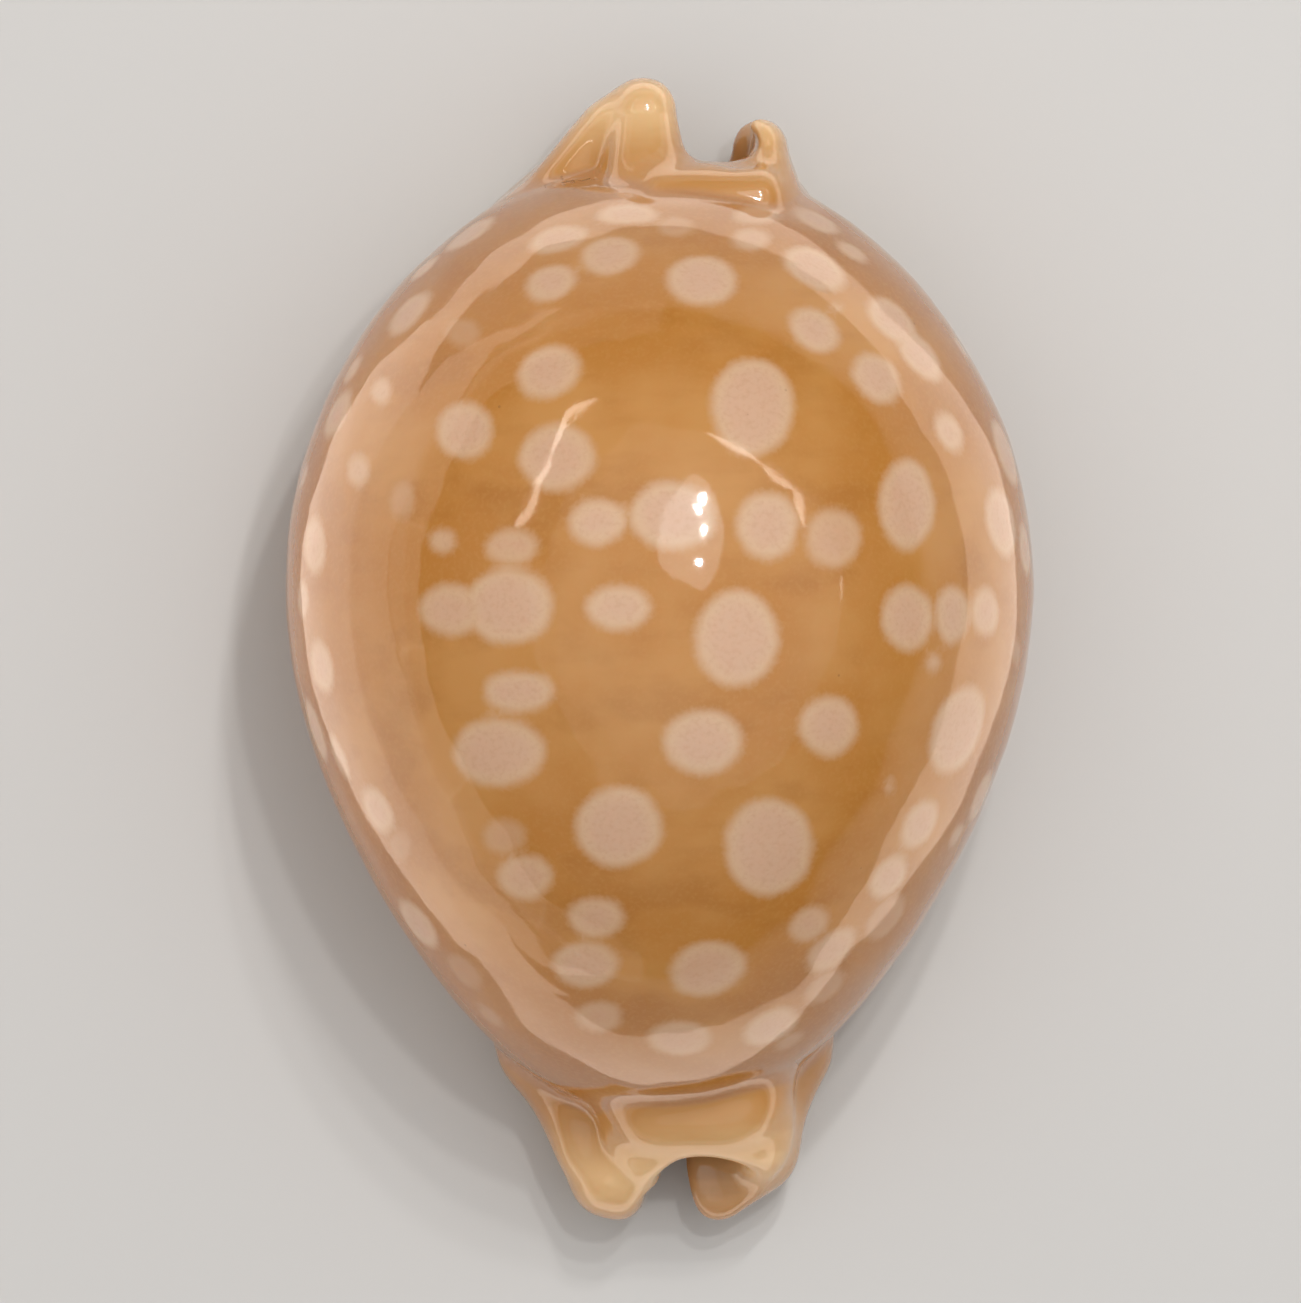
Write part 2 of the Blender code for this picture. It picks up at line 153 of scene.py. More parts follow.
# Spots read off the photograph, in its pixels: centre, half width, half height,
# whether the spot lies turned along the outline, and how strongly it shows
SPOTS_SEEN = (
    (627, 213, 29, 10, 0, 0.9), (676, 226, 17, 10, 0, 0.45), (757, 214, 22, 8, 0, 0.7),
    (752, 238, 19, 11, 0, 0.8), (815, 267, 33, 20, 1, 1.0), (610, 254, 28, 18, 1, 0.9),
    (550, 282, 25, 20, 1, 0.9), (702, 279, 34, 24, 0, 1.0), (815, 329, 26, 25, 1, 1.0),
    (877, 378, 28, 20, 1, 1.0), (893, 320, 30, 20, 1, 1.0), (921, 356, 28, 20, 1, 1.0),
    (817, 219, 24, 9, 1, 0.9), (853, 251, 16, 8, 1, 0.9), (753, 405, 40, 48, 0, 1.0),
    (949, 431, 20, 15, 1, 1.0), (908, 504, 27, 44, 0, 1.0), (834, 538, 27, 28, 0, 0.8),
    (768, 526, 30, 32, 0, 1.0), (673, 515, 42, 33, 0, 1.0), (1002, 522, 14, 34, 1, 1.0),
    (1006, 453, 8, 32, 1, 1.0), (1026, 549, 5, 25, 1, 1.0), (964, 348, 4, 14, 1, 0.8),
    (548, 371, 31, 25, 1, 1.0), (464, 430, 28, 28, 0, 1.0), (556, 457, 36, 32, 0, 0.95),
    (598, 522, 27, 22, 0, 1.0), (443, 541, 14, 11, 0, 0.9), (511, 547, 26, 17, 0, 0.85),
    (380, 391, 11, 12, 0, 0.9), (358, 470, 12, 15, 0, 0.9), (337, 415, 10, 25, 1, 1.0),
    (408, 313, 12, 27, 1, 1.0), (353, 369, 7, 14, 1, 1.0), (424, 267, 8, 17, 1, 1.0),
    (469, 233, 10, 27, 1, 1.0), (518, 188, 5, 17, 1, 0.9), (558, 238, 28, 12, 1, 0.9),
    (462, 332, 17, 13, 0, 0.4), (402, 500, 12, 18, 0, 0.4), (302, 476, 3, 12, 1, 0.8),
    (314, 545, 10, 28, 0, 1.0), (303, 599, 5, 17, 0, 1.0), (321, 667, 11, 25, 1, 1.0),
    (316, 731, 5, 30, 1, 1.0), (339, 757, 5, 22, 1, 1.0), (377, 810, 12, 24, 1, 1.0),
    (400, 846, 9, 14, 0, 0.4), (518, 692, 34, 20, 0, 1.0), (508, 606, 42, 37, 0, 1.0),
    (450, 610, 33, 24, 0, 0.95), (618, 608, 31, 22, 0, 1.0), (497, 753, 44, 33, 0, 1.0),
    (504, 837, 21, 17, 0, 0.55), (525, 877, 27, 21, 0, 0.9), (618, 828, 42, 39, 0, 1.0),
    (596, 918, 27, 20, 0, 0.9), (585, 965, 32, 22, 0, 0.9), (599, 1018, 22, 15, 0, 0.7),
    (708, 970, 38, 26, 1, 0.95), (680, 1040, 30, 17, 0, 0.8), (418, 924, 11, 28, 1, 1.0),
    (464, 972, 10, 22, 1, 0.4), (490, 1016, 8, 15, 1, 0.4), (737, 639, 40, 47, 0, 1.0),
    (703, 742, 38, 31, 0, 1.0), (829, 726, 28, 29, 0, 0.95), (770, 848, 43, 48, 0, 1.0),
    (908, 618, 25, 32, 0, 1.0), (953, 615, 16, 28, 0, 1.0), (986, 612, 14, 24, 0, 1.0),
    (933, 663, 8, 9, 0, 0.8), (959, 730, 24, 45, 1, 1.0), (938, 747, 12, 12, 0, 1.0),
    (920, 824, 17, 25, 1, 1.0), (889, 877, 20, 24, 1, 1.0), (886, 918, 24, 26, 1, 0.55),
    (809, 923, 17, 20, 1, 0.8), (832, 950, 15, 28, 1, 0.85), (825, 988, 16, 22, 1, 0.55),
    (771, 1028, 20, 28, 1, 0.9), (789, 1042, 10, 14, 1, 0.5), (981, 797, 9, 25, 1, 1.0),
    (956, 835, 6, 12, 1, 0.9), (889, 785, 4, 6, 0, 0.7), (837, 307, 6, 4, 0, 0.7),
    (1016, 652, 4, 12, 0, 0.5),
)

# Spots on the flanks below the widest line, which the view from above doesn't reach:
# rows by share of the widest line's height, with the spacing along the shell and the usual radius
FLANK_ROWS = ((0.84, 7.6, 2.0), (0.56, 6.8, 1.7), (0.33, 6.0, 1.2))
# The disorder in them: shares of the height, the radius, the tallness, the strength and the spacing
FLANK_HEIGHTS = (-0.09, 0.09)
FLANK_SIZES = (0.6, 1.25)
FLANK_TALLNESS = (0.85, 1.15)
FLANK_LENGTHENING = 1.1
FLANK_STRENGTHS = (0.6, 1.0)
FLANK_SPACINGS = (0.75, 1.3)
FLANK_FRONT = -25.0
FLANK_BACK = 29.0
FLANK_SEED = 7
# How near the widest line a spot's place may be, how much a spot near it is drawn out and how deep
# a spot reaches, as shares
STEEPEST = 0.985
DRAWN_OUT = 1.15
SPOT_DEPTH = 1.5
FAR_OUTSIDE = -9.0

# Wavelengths and heights of the slight unevenness of the enamel, which makes reflections waver
WAVES = ((9.0, 0.026), (5.0, 0.014), (2.6, 0.005))
WAVES_EACH = 5
WAVE_SHARE = 0.45
WAVE_TILT = 0.9
WAVE_SEED = 11
# The flat that the shell rests on stays even up to this height
FLAT_HEIGHT = 0.6

# What is measured at each vertex, for the enamel to read
MARKS = ("spot", "spot_strength", "end", "rise", "tooth", "lip", "inner")
# How much higher the ends count than they are, because the cream of the base stays lower there, in mm
ENDS_RISE = 4.0
# Where the inside's colour starts and is full: the depth below the outer surface, and along the shell
INNER_DEPTH = (0.9, 1.9)
INNER_FRONT = (-35.0, -28.0)
INNER_BACK = (-33.0, -27.0)

# Patterns in the enamel: size in mm, detail, and how many times finer along X, Y and Z
PATTERNS = {
    "drift": (9.0, 3.0, (1.0, 1.0, 1.0)),
    "patches": (6.5, 4.0, (0.6, 1.0, 0.8)),
    "bare": (6.0, 2.0, (1.0, 1.0, 1.0)),
    "clouds": (5.0, 3.0, (1.0, 1.0, 1.0)),
    "wear": (4.0, 2.0, (1.0, 1.0, 1.0)),
    "ragged": (2.4, 3.0, (1.0, 1.0, 1.0)),
    "growth": (1.6, 2.0, (0.3, 1.0, 0.3)),
    "mottle": (1.6, 2.0, (1.0, 1.0, 1.0)),
    "ripple": (1.1, 2.0, (1.0, 1.0, 1.0)),
    "grain": (0.35, 2.0, (1.0, 1.0, 1.0)),
}
# Dark pin pricks are about a fifth of a millimetre wide
PRICK_SPACING = 3.2
# The gloss: the finest roughness, and the coarsest where the enamel is worn, a faint ripple, and the light
# that travels a little way under the surface
GLOSS = {"From Min": 0.3, "From Max": 0.7, "To Min": 0.045, "To Max": 0.085}
RIPPLE = {"Strength": 0.35, "Distance": 0.012 * MM}
ENAMEL = {"IOR": 1.65, "Subsurface Weight": 0.12, "Subsurface Scale": 1.2 * MM}
# Card has a fine tooth of about 0.4 mm
CARD_TOOTH = 0.4
CARD_TOOTH_HEIGHT = 0.02
CARD_RELIEF = 0.1
CARD_ROUGHNESS = 0.7

# Masks: what is measured, the patterns added to it with their weights, where the mask starts and is full,
# and its strength
MASKS = {
    "light clouds": ("drift", (), 0.35, 0.68, 1.0),
    # Partly painted shade: the ground darkens down the flanks towards the outline
    "flank deepening and rim shade": ("rise", (("drift", 6.0),), 34.0, 20.0, 0.7),
    "deep patches": ("patches", (), 0.52, 0.66, 0.35),
    "growth lines": ("growth", (), 0.5, 0.75, 0.18),
    "ground grain": ("grain", (), 0.42, 0.75, 0.3),
    "spot heart": ("spot", (("mottle", 0.9),), 0.5, 1.9, 1.0),
    "spot grain": ("grain", (), 0.4, 0.8, 0.4),
    "spots": ("spot", (("ragged", 0.6), ("grain", 0.35)), -0.1, 1.0, "spot_strength"),
    # Partly a painted reflection of the floor along the creases
    "crease band and painted reflection": ("end", (("drift", 2.4),), -1.6, 0.6, 0.35),
    # Painted shade: the deeper fawn stays along the crease and gives way to fawn further out
    "far end": ("end", (("drift", 1.8),), 1.6, 6.6, 1.0),
    "end growth": ("growth", (), 0.45, 0.7, 0.25),
    # Painted shade: the ends darken towards the floor
    "painted low shade on ends": ("rise", (("drift", 2.0),), 16.5, 11.0, 0.75),
    "ends": ("end", (("drift", 0.5),), 0.3, 1.0, 1.0),
    "base": ("rise", (("clouds", 2.4),), 8.4, 4.4, 1.0),
    "lips": ("lip", (), 0.0, 1.0, 0.6),
    "teeth": ("tooth", (), 0.38, 0.72, 1.0),
    "sparse": ("bare", (), 0.56, 0.6, 0.45),
    "pricks": ("prick", (), 0.045, 0.02, "sparse"),
}

# Coats of colour in the order they are laid: the coat, the mask, and the colour or coat laid over it
COATS = (
    # Ground: golden brown on the back, deeper and more orange down the flanks, partly real colour and partly
    # painted shade towards the outline, with faint growth lines
    ("enamel", "light clouds", "ground_light"),
    ("enamel", "flank deepening and rim shade", "ground_deep_and_flank_shade"),
    ("enamel", "deep patches", "ground_deep_and_flank_shade"),
    ("enamel", "growth lines", "ground_deep_and_flank_shade"),
    ("enamel", "ground grain", "ground_light"),
    # Spots: cream, their edges soft over nearly a millimetre, yellowish at the rim and pinker within
    ("marking", "spot heart", "spot"),
    ("marking", "spot grain", "spot_grain"),
    ("enamel", "spots", "marking"),
    # A pale pinkish band along the creases: partly a real pale rim of the enamel, partly a painted reflection
    # of the floor
    ("enamel", "crease band and painted reflection", "spot"),
    # Collars, horns and margins: fawn, darkened along the crease and low down as painted shade, with faint
    # growth lines
    ("end", "far end", "fawn"),
    ("end", "end growth", "fawn_crease_shade_and_growth"),
    # Painted shade on the collars, horns and tips low down
    ("end", "painted low shade on ends", "fawn_painted_low_shade"),
    ("enamel", "ends", "end"),
    # Base: cream callus spreading up from the lips, and the white teeth
    ("enamel", "base", "base"),
    ("enamel", "lips", "lip"),
    ("enamel", "teeth", "tooth"),
    ("enamel", "inner", "inner"),
    # Sparse dark pin pricks
    ("enamel", "pricks", "prick"),
)


def linear(code, alpha=1.0):
    """An sRGB hex colour as linear red, green, blue and alpha."""
    values = [int(code[i : i + 2], 16) / 255 for i in (1, 3, 5)]
    return tuple(v / 12.92 if v <= 0.04045 else ((v + 0.055) / 1.055) ** 2.4 for v in values) + (alpha,)


def fitted_width():
    """The squared half width along the body as one smooth curve through the stations."""
    stations = np.array(BODY_WIDTHS)
    return np.polyfit(stations[:, 0], stations[:, 1] ** 2, 6)


WIDTH_CURVE = fitted_width()
WIDTH_SLOPE = np.polyder(WIDTH_CURVE)


def half_width(y):
    """Half the body's width at y, and next to nothing past its ends."""
    return np.sqrt(np.maximum(np.polyval(WIDTH_CURVE, y), LEAST_SQUARE))


def along(y, pairs):
    """A smooth value at y from pairs of y and value."""
    stations = np.array(pairs, float)
    slopes = np.gradient(stations[:, 1], stations[:, 0])
    i = np.clip(np.searchsorted(stations[:, 0], y) - 1, 0, len(stations) - 2)
    y0, v0, m0 = stations[i, 0], stations[i, 1], slopes[i]
    y1, v1, m1 = stations[i + 1, 0], stations[i + 1, 1], slopes[i + 1]
    span = y1 - y0
    t = np.clip((y - y0) / span, 0, 1)
    rise = t * t * (3 - 2 * t)
    return v0 + (v1 - v0) * rise + span * (m0 * t * (1 - t) ** 2 - m1 * t * t * (1 - t))


def ramp(value, low, high):
    """From 0 at low to 1 at high, with soft ends."""
    t = np.clip((value - low) / (high - low), 0, 1)
    return t * t * (3 - 2 * t)


def common(a, b, blend):
    """What two forms share, with a fillet of about this size at the edge between them."""
    overlap = np.maximum(blend - np.abs(a - b), 0) / blend
    return np.maximum(a, b) + overlap * overlap * blend / 4


def joined(a, b, blend):
    """Both forms as one, with a fillet where they meet."""
    return -common(-a, -b, blend)


def cut(a, b, blend):
    """The first form less the second, with a rounded edge."""
    return common(a, -b, blend)


def middle_height(y):
    """Height of the body's widest line."""
    t = (y - 1.0) / 33.0
    return 14.8 - 2.0 * t**2 - 4.5 * t**6 - 0.9 * t


def base_height(x, y):
    """The base curves up to the ends and sinks a little along the opening."""
    t = (y - 1.0) / 36.0
    away = np.abs(x - along(y, OPENING_LINE))
    return 0.9 + 1.3 * t**4 - 1.45 * np.exp(-(((away - 7.5) / 4.0) ** 2))


def body_form(x, y, z):
    """How far outside the egg-shaped body each point is, and less than nothing inside it."""
    squared = np.polyval(WIDTH_CURVE, y)
    middle = middle_height(y)
    depth = middle - base_height(x, y)
    above = z > middle
    half = half_width(y)
    height = np.where(above, (z - middle) / BACK_RISE, (z - middle) * half / depth)
    power = np.where(above, 2.0, BASE_SQUARENESS)
    reach = (np.abs(x) ** power + np.abs(height) ** power) ** (2 / power)
    slope = np.polyval(WIDTH_SLOPE, y) / 2
    return (reach - squared) / (2 * np.sqrt(np.maximum(reach, 1.0) + slope**2))


def lobe(x, y, z, start, end):
    """A rounded bar from start to end."""
    ax, ay, az, ar, ah = start
    bx, by, bz, br, bh = end
    dx, dy = bx - ax, by - ay
    t = np.clip(((x - ax) * dx + (y - ay) * dy) / (dx * dx + dy * dy), 0, 1)
    radius = ar + t * (br - ar)
    half = ah + t * (bh - ah)
    out = np.hypot(x - ax - t * dx, y - ay - t * dy) / radius
    up = np.abs(z - az - t * (bz - az)) / half
    m = LOBE_SQUARENESS
    size = np.maximum(out**m + up**m, TINY) ** (1 / m)
    steepness = size ** (1 - m) * np.hypot(out ** (m - 1) / radius, up ** (m - 1) / half)
    return (size - 1) / np.maximum(steepness, 0.5 / np.maximum(radius, half))


def ball(x, y, z, centre, radii):
    """A ball drawn out along the axes."""
    parts = [(v - c, r) for v, c, r in zip((x, y, z), centre, radii)]
    size = np.sqrt(sum((d / r) ** 2 for d, r in parts))
    steepness = np.sqrt(sum((d / r**2) ** 2 for d, r in parts))
    return size * (size - 1) / np.maximum(steepness, 1e-3)


def tube(x, y, z, route):
    """A round way through the route's points."""
    form = None
    for (ax, ay, az, ar), (bx, by, bz, br) in zip(route, route[1:]):
        d = np.array((bx - ax, by - ay, bz - az), float)
        t = np.clip(((x - ax) * d[0] + (y - ay) * d[1] + (z - az) * d[2]) / (d @ d), 0, 1)
        away = np.sqrt((x - ax - t * d[0]) ** 2 + (y - ay - t * d[1]) ** 2 + (z - az - t * d[2]) ** 2)
        piece = away - ar - t * (br - ar)
        form = piece if form is None else joined(form, piece, ROUTE_BLEND)
    return form


def lobes_form(x, y, z, lobes):
    form = None
    for start, end in lobes.values():
        piece = lobe(x, y, z, start, end)
        form = piece if form is None else joined(form, piece, LOBE_BLEND)
    return form


def ends_form(x, y, z):
    """The collars, horns and margins, without the body."""
    front = cut(lobes_form(x, y, z, FRONT_LOBES), ball(x, y, z, *FRONT_MOUTH), MOUTH_EDGE)
    back = cut(lobes_form(x, y, z, BACK_LOBES), ball(x, y, z, *BACK_CURL), CURL_EDGE)
    return np.minimum(front, back)


def outside(x, y, z):
    """The shell's outer form: creased where the collars meet the back, soft on the base."""
    front_blend = FRONT_CREASE + (FOOT_BLEND - FRONT_CREASE) * ramp(-z, *FRONT_FOOT)
    back_blend = BACK_CREASE + (FOOT_BLEND - BACK_CREASE) * ramp(-z, *BACK_FOOT)
    return joined(body_form(x, y, z), ends_form(x, y, z), np.where(y < 0, front_blend, back_blend))


def hollow(x, y, z, wall, lip):
    """The room inside, above the rolled lips."""
    return common(body_form(x, y, z) + wall, lip - z, ROOM_ROUNDING)


def opening(x, y, z):
    """The long slit between the lips and the canals at its ends."""
    beside = np.abs(x - along(y, OPENING_LINE)) - along(y, OPENING_HALF)
    slit = common(beside, z - SLIT_TOP, SLIT_ROUNDING)
    canals = np.minimum(tube(x, y, z, FRONT_CANAL), tube(x, y, z, BACK_CANAL))
    return joined(slit, canals, SLIT_ROUNDING)


def tooth_ridges(x, y, z, pitch, reach):
    """Where the tooth ridges are, and how far out of the lips each point's ridge stands."""
    edge = np.abs(x - along(y, OPENING_LINE)) - along(y, OPENING_HALF)
    side = np.where(x < along(y, OPENING_LINE), 0.0, 0.5)
    ridge = 0.5 + 0.5 * np.cos(2 * math.pi * ((y - TEETH_FRONT) / pitch + side))
    strength = ramp(-edge, -reach, -TOOTH_ROOT) * ramp(-z, *TOOTH_TOP)
    ends = ramp(y, TEETH_FRONT - 1, TEETH_FRONT + 1) * ramp(-y, -TEETH_BACK - 1, 1 - TEETH_BACK)
    return ridge, strength * ends


def shell_form(x, y, z, sizes):
    form = cut(outside(x, y, z), hollow(x, y, z, sizes["wall"], sizes["lip"]), ROOM_EDGE)
    form = cut(form, opening(x, y, z), LIP_ROLL)
    ridge, strength = tooth_ridges(x, y, z, sizes["tooth_pitch"], sizes["tooth_reach"])
    form = form - sizes["tooth_height"] * strength * (ridge - GROOVE_SHARE)
    return np.maximum(form, -z)


def add_ball(shape, centre, radii):
    """A round lump of the blank."""
    made = bmesh.ops.create_uvsphere(shape, u_segments=24, v_segments=16, radius=1.0)
    bmesh.ops.scale(shape, vec=radii, verts=made["verts"])
    bmesh.ops.translate(shape, vec=centre, verts=made["verts"])


def add_body(shape, inset, floor):
    """A ball drawn out to the body's form, smaller by the inset and not below the floor."""
    made = bmesh.ops.create_uvsphere(shape, u_segments=48, v_segments=40, radius=1.0)
    centre = (BODY_BACK + BODY_FRONT) / 2
    length = (BODY_BACK - BODY_FRONT) / 2 - inset
    for vert in made["verts"]:
        # The ball's poles lie along the shell, so turn Z to Y first
        across, up, y = vert.co.x, vert.co.y, centre + vert.co.z * length
        half = max(float(half_width(y)) - inset, LEAST_HALF)
        power = 2.0 if up > 0 else BASE_SQUARENESS
        around = max((abs(across) ** power + abs(up) ** power) ** (1 / power), 1e-6)
        middle = float(middle_height(y))
        tall = half * BACK_RISE if up > 0 else middle - inset
        vert.co = (half * across / around, y, max(middle + tall * up / around, floor))


def add_slit(shape):
    """A blade bent to the opening's line."""
    made = bmesh.ops.create_cube(shape, size=1.0)
    edges = {e for v in made["verts"] for e in v.link_edges}
    lengthwise = [e for e in edges if abs(e.verts[0].co.y - e.verts[1].co.y) > 0.5]
    bmesh.ops.subdivide_edges(shape, edges=lengthwise, cuts=60, use_grid_fill=True)
    for vert in shape.verts:
        y = np.float64(vert.co.y * BLADE_LENGTH)
        middle = float(along(y, OPENING_LINE))
        half = float(along(y, OPENING_HALF))
        height = SLIT_TOP + (vert.co.z - 0.5) * BLADE_DEPTH
        vert.co = (middle + vert.co.x * 2 * half, y, height)


def add_lobes(shape, lobes):
    for start, end in lobes.values():
        start, end = np.array(start), np.array(end)
        steps = max(2, math.ceil(np.linalg.norm((end - start)[:2]) / LOBE_STEP))
        for t in np.linspace(0, 1, steps):
            x, y, z, radius, half = (start + t * (end - start)).tolist()
            add_ball(shape, (x, y, z), (radius, radius, half))


def add_route(shape, route):
    for start, end in zip(route, route[1:]):
        for t in np.linspace(0, 1, ROUTE_BALLS):
            x, y, z, radius = (np.array(start) + t * (np.array(end) - np.array(start))).tolist()
            add_ball(shape, (x, y, z), (radius, radius, radius))


def helper(name, shape):
    """An object that only helps to make the shell."""
    mesh = bpy.data.meshes.new(name)
    shape.to_mesh(mesh)
    shape.free()
    thing = bpy.data.objects.new(name, mesh)
    bpy.context.collection.objects.link(thing)
    return thing


def even_grid(thing, size):
    modifier = thing.modifiers.new("Even grid", "REMESH")
    modifier.mode = "VOXEL"
    modifier.voxel_size = size


def make_blank(wall, lip, grid):
    """The rough shell: body and lobes, less the hollow, the slit and the canals."""
    solid = bmesh.new()
    add_body(solid, 0.0, 0.0)
    add_lobes(solid, FRONT_LOBES)
    add_lobes(solid, BACK_LOBES)
    blank = helper("blank", solid)
    even_grid(blank, ROUGH_GRID)
    space = bmesh.new()
    add_slit(space)
    add_body(space, wall, lip)
    add_route(space, FRONT_CANAL)
    add_route(space, BACK_CANAL)
    add_ball(space, *FRONT_MOUTH)
    add_ball(space, *BACK_CURL)
    room = helper("room", space)
    even_grid(room, ROUGH_GRID)
    hollowing = blank.modifiers.new("Hollow", "BOOLEAN")
    hollowing.operation = "DIFFERENCE"
    hollowing.object = room
    even_grid(blank, grid)
    bpy.context.view_layer.update()
    mesh = bpy.data.meshes.new_from_object(blank.evaluated_get(bpy.context.evaluated_depsgraph_get()))
    for used in (blank, room):
        old = used.data
        bpy.data.objects.remove(used)
        bpy.data.meshes.remove(old)
    shape = bmesh.new()
    shape.from_mesh(mesh)
    bpy.data.meshes.remove(mesh)
    return shape


def points_of(shape):
    return np.array([vert.co[:] for vert in shape.verts])


def slope_at(points, value, sizes):
    """The form's slope at each point."""
    x, y, z = points.T
    return np.stack((
        shell_form(x + SLOPE_PROBE, y, z, sizes) - value,
        shell_form(x, y + SLOPE_PROBE, z, sizes) - value,
        shell_form(x, y, z + SLOPE_PROBE, sizes) - value,
    ), axis=1) / SLOPE_PROBE


def settle(shape, sizes):
    """Moves the vertices onto the shell's form along its slope."""
    points = points_of(shape)
    for _ in range(SETTLE_ROUNDS):
        value = shell_form(*points.T, sizes)
        slope = slope_at(points, value, sizes)
        step = slope * (value / np.maximum((slope**2).sum(axis=1), LEAST_SLOPE))[:, None]
        length = np.linalg.norm(step, axis=1)
        points = points - step * np.minimum(1, LONGEST_STEP / np.maximum(length, TINY))[:, None]
    for vert, point in zip(shape.verts, points):
        vert.co = point


def even_out(shape, times):
    for _ in range(times):
        bmesh.ops.smooth_vert(
            shape, verts=shape.verts, factor=0.5, use_axis_x=True, use_axis_y=True, use_axis_z=True
        )


def refine(shape, near):
    """Halves the edges between the vertices that are marked as near."""
    wanted = [edge for edge in shape.edges if near[edge.verts[0].index] and near[edge.verts[1].index]]
    bmesh.ops.subdivide_edges(shape, edges=wanted, cuts=1, use_grid_fill=True)
    shape.verts.ensure_lookup_table()
    shape.verts.index_update()


def on_ends(points):
    """Where the outer surface curves tightly, on the collars, horns and tips."""
    return (outside(*points.T) > SKIN_DEPTH) & (ends_form(*points.T) < FINE_ENDS)


def at_creases(points):
    """Where it curves more tightly still, between the ends and the body."""
    gap = body_form(*points.T) - ends_form(*points.T)
    return (outside(*points.T) > SKIN_DEPTH) & (np.abs(gap) < FINE_CREASE)


def waver(points, normals):
    """The slight unevenness of grown enamel, along the normals."""
    source = random.Random(WAVE_SEED)
    lift = np.zeros(len(points))
    for wavelength, height in WAVES:
        for _ in range(WAVES_EACH):
            turn, tilt = source.uniform(0, 2 * math.pi), source.uniform(-WAVE_TILT, WAVE_TILT)
            ahead = np.array((math.cos(turn), math.sin(turn), tilt)) * 2 * math.pi / wavelength
            lift += height * WAVE_SHARE * np.sin(points @ ahead + source.uniform(0, 2 * math.pi))
    flat = points[:, 2] < FLAT_HEIGHT
    return points + normals * np.where(flat, 0, lift)[:, None]


def surface_frame(x, y):
    """The point of the back over x and y, and the way out of the shell there."""
    half = float(half_width(y))
    share = min(max(x / half, -STEEPEST), STEEPEST)
    height = float(middle_height(y)) + BACK_RISE * half * math.sqrt(1 - share**2)
    point = Vector((share * half, y, height))
    steps = (0, 0, 0), (1, 0, 0), (0, 1, 0), (0, 0, 1)
    probes = np.array([point + Vector(step) * SLOPE_PROBE for step in steps])
    value = body_form(*probes.T)
    return point, Vector(value[1:] - value[0]).normalized()


def spot_depth(points, centre, axes):
    """How far inside a spot each point is, in mm, from the spot's centre and its half axes as vectors."""
    away = points - np.array(centre)
    size = np.zeros(len(points))
    steepness = np.zeros(len(points))
    for axis in axes:
        share = away @ np.array(axis) / axis.length_squared
        size += share**2
        steepness += share**2 / axis.length_squared
    size = np.sqrt(size)
    smallest = min(axis.length for axis in axes)
    depth = size * (1 - size) / np.maximum(np.sqrt(steepness), 1e-3)
    return np.where(size < 0.3, smallest * (1 - size), depth)


def seen_spots():
    """Centre, half axes and strength of each spot on the back, from its place in the photograph."""
    for px, py, half_x, half_y, turned, shows in SPOTS_SEEN:
        x, y = (px - PHOTO_ORIGIN[0]) / PIXELS_PER_MM, (PHOTO_ORIGIN[1] - py) / PIXELS_PER_MM
        height = surface_frame(x, y)[0].z
        nearer = 1 - (height - float(middle_height(y))) / PHOTO_DISTANCE
        centre, normal = surface_frame(x * nearer, y * nearer)
        across, ahead = Vector((1, 0, 0)), Vector((0, 1, 0))
        widths = half_x / PIXELS_PER_MM, half_y / PIXELS_PER_MM
        if turned:
            across = Vector((normal.x, normal.y, 0)).normalized()
            ahead = Vector((-across.y, across.x, 0))
            widths = min(widths), max(widths)
        axes = []
        for way, width in zip((across, ahead), widths):
            lying = (way - normal * way.dot(normal)).normalized()
            axes.append(lying * min(width / max(lying.dot(way), 0.05), max(widths) * DRAWN_OUT))
        axes.append(normal * max(widths) * SPOT_DEPTH)
        yield centre, axes, shows


def flank_spots():
    """The same for spots on the flanks, placed in rows with some disorder."""
    source = random.Random(FLANK_SEED)
    for share, spacing, radius in FLANK_ROWS:
        for side in (-1, 1):
            y = FLANK_FRONT + source.uniform(0, spacing)
            while y < FLANK_BACK:
                middle = float(middle_height(y))
                height = middle * (share + source.uniform(*FLANK_HEIGHTS))
                drop = 1 - height / middle
                reach = float(half_width(y)) * max(1 - drop**BASE_SQUARENESS, 0.0) ** (1 / BASE_SQUARENESS)
                size = radius * source.uniform(*FLANK_SIZES)
                tall = size * source.uniform(*FLANK_TALLNESS)
                axes = (Vector((size, 0, 0)), Vector((0, size * FLANK_LENGTHENING, 0)), Vector((0, 0, tall)))
                yield Vector((side * reach, y, height)), axes, source.uniform(*FLANK_STRENGTHS)
                y += spacing * source.uniform(*FLANK_SPACINGS)


def add_markings(mesh, points, sizes):
    """Keeps what the enamel reads as one number for each vertex."""
    x, y, z = points.T
    inside = np.full(len(points), FAR_OUTSIDE)
    shows = np.zeros(len(points))
    for centre, axes, strength in (*seen_spots(), *flank_spots()):
        depth = spot_depth(points, centre, axes)
        shows = np.where(depth > inside, strength, shows)
        inside = np.maximum(depth, inside)
    end = body_form(x, y, z) - ends_form(x, y, z)
    ridge, strength = tooth_ridges(x, y, z, sizes["tooth_pitch"], sizes["tooth_reach"])
    deep = ramp(-outside(x, y, z), *INNER_DEPTH) * ramp(y, *INNER_FRONT) * ramp(-y, *INNER_BACK)
    marks = inside, shows, end, z + ENDS_RISE * ramp(end, 0.0, 0.5), ridge * strength, strength, deep
    for name, values in zip(MARKS, marks):
        attribute = mesh.attributes.new(name, "FLOAT", "POINT")
        attribute.data.foreach_set("value", np.asarray(values, np.float32))


